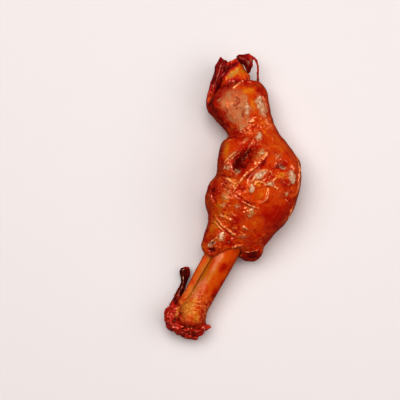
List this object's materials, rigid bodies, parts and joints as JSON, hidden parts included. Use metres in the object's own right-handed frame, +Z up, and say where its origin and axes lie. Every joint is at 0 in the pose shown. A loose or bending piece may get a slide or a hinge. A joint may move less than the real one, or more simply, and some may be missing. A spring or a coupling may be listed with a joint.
{
  "type": "braised lamb trotter",
  "caption": "Braised lower leg of lamb lying on its side, with glazed wrinkled skin round the fetlock, a bare cannon bone, dark gristle on its knuckle and toe ends without horn.",
  "frame": {"origin": "middle of the length and width, on the level that the leg rests on", "axes": "+Y from the knuckle to the toes, +X to the right as the leg lies, +Z up"},
  "size_m": [0.0952, 0.1988, 0.0432],
  "materials": {
    "glazed_skin": "sticky braising glaze over orange-brown to deep red skin, glossy, wrinkled",
    "stained_bone": "wet bone stained orange by the braising sauce, satin",
    "dark_gristle": "dark red-brown gristle with a wet glaze",
    "dark_toe": "maroon toe tissue with lengthwise streaks, wet",
    "toe_pad": "tan to orange pad tissue, wet"
  },
  "bodies": {
    "root": {"skin_and_meat": "glazed_skin", "cannon_bone": "stained_bone", "knuckle_gristle": "dark_gristle", "long_toe": "dark_toe", "short_toe": "dark_toe", "toe_pad": "toe_pad"}
  },
  "joints": []
}
